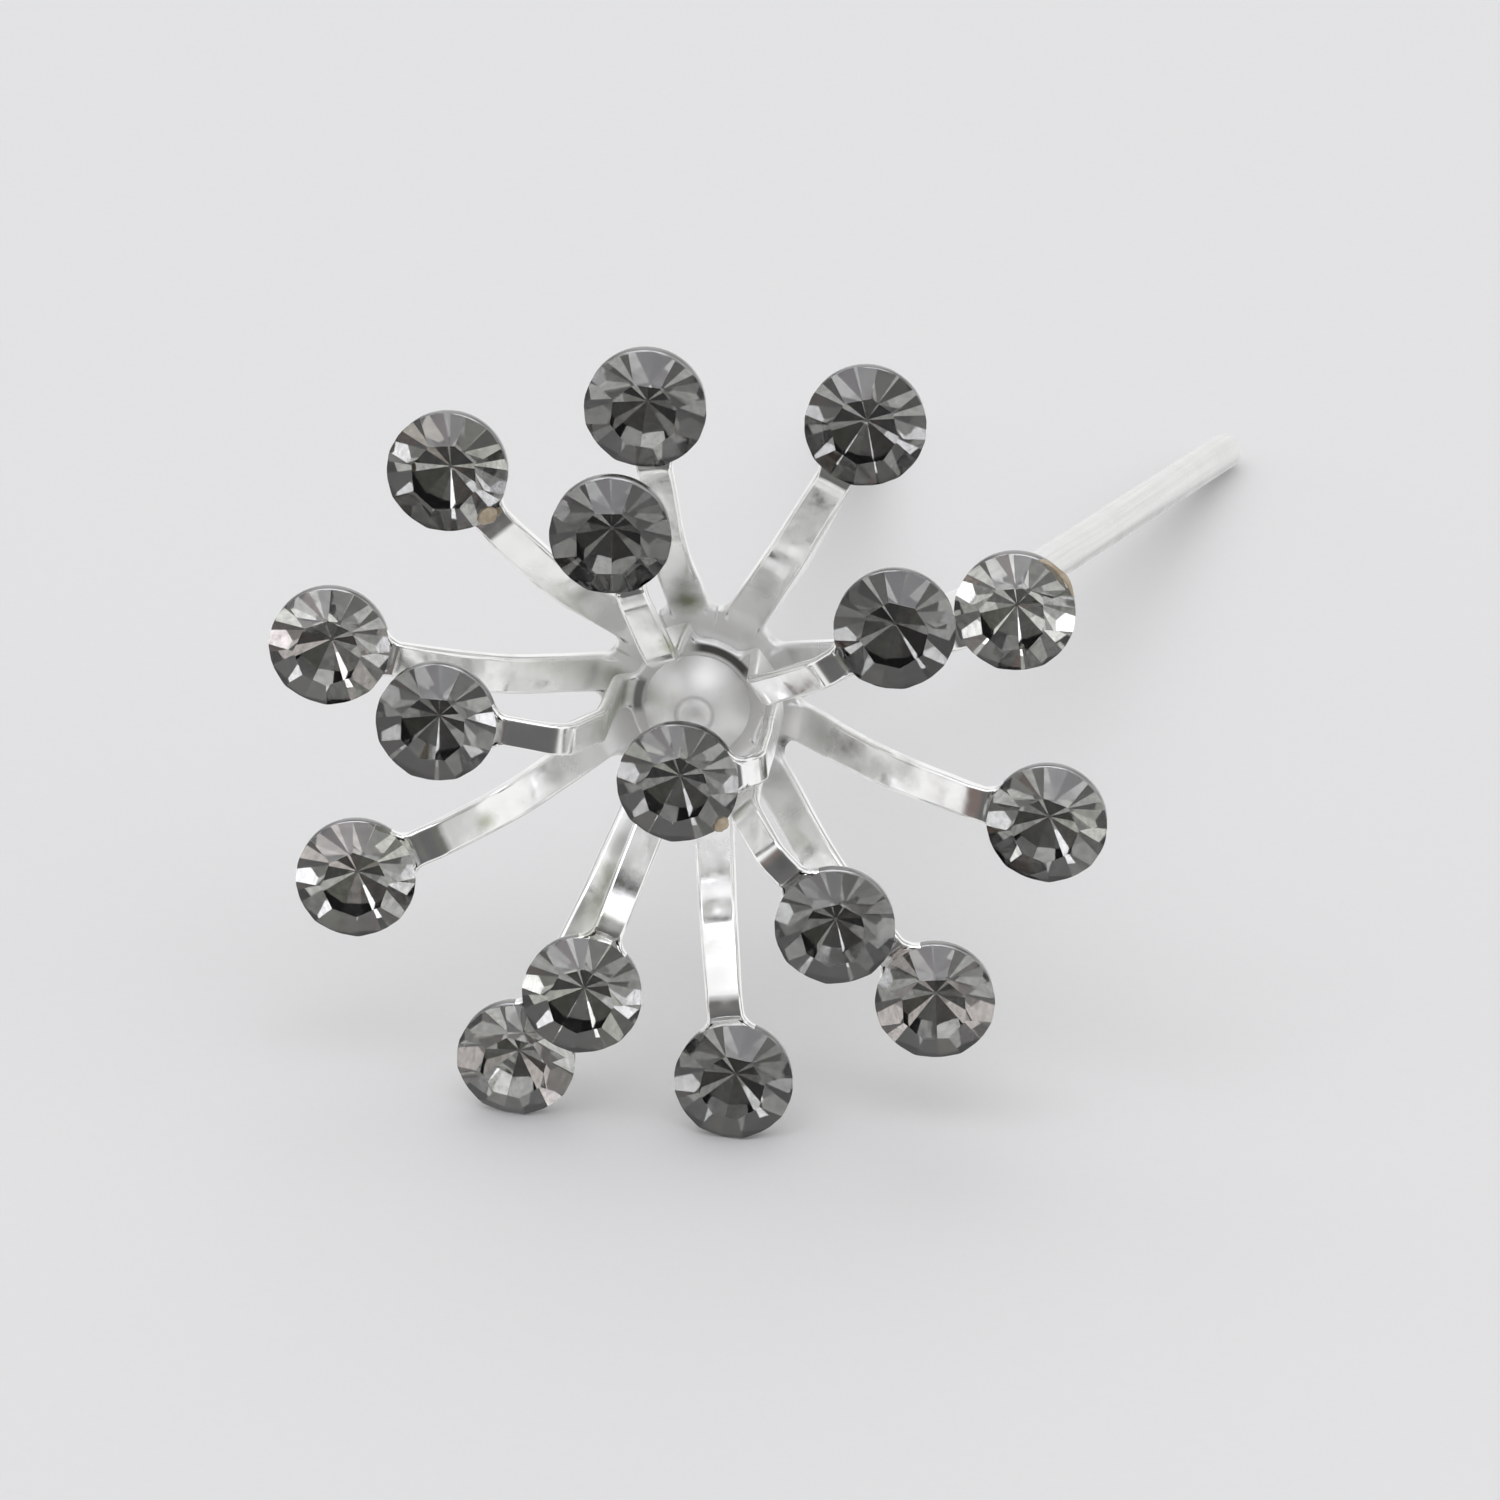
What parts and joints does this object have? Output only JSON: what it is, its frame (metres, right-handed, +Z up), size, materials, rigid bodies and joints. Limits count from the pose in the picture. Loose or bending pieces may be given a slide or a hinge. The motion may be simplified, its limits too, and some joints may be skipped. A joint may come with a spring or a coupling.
{
  "type": "hairpin",
  "caption": "Hairpin: a burst of clear foiled stones in cups on thin bent arms, riveted to the plate of a U-shaped wire pin.",
  "frame": {"origin": "on the surface that the pin lies on, under the middle of its box", "axes": "+Z up from the surface, +Y along the surface from the burst toward the tips of the legs, +X to the right seen from the burst"},
  "size_m": [0.0272, 0.0688, 0.0265],
  "materials": {
    "silver_plate": "bright plated sheet, slightly uneven where it was bent",
    "steel_wire": "bright plated wire",
    "foiled_glass": "clear cut glass with a foiled back"
  },
  "bodies": {
    "root": {"outer_star": "silver_plate", "inner_star": "silver_plate", "hub_rivet": "silver_plate", "hair_pin": "steel_wire", "stone_01": "foiled_glass", "stone_02": "foiled_glass", "stone_03": "foiled_glass", "stone_04": "foiled_glass", "stone_05": "foiled_glass", "stone_06": "foiled_glass", "stone_07": "foiled_glass", "stone_08": "foiled_glass", "stone_09": "foiled_glass", "stone_10": "foiled_glass", "stone_11": "foiled_glass", "stone_12": "foiled_glass", "stone_13": "foiled_glass", "stone_14": "foiled_glass", "stone_15": "foiled_glass", "stone_16": "foiled_glass"}
  },
  "joints": []
}
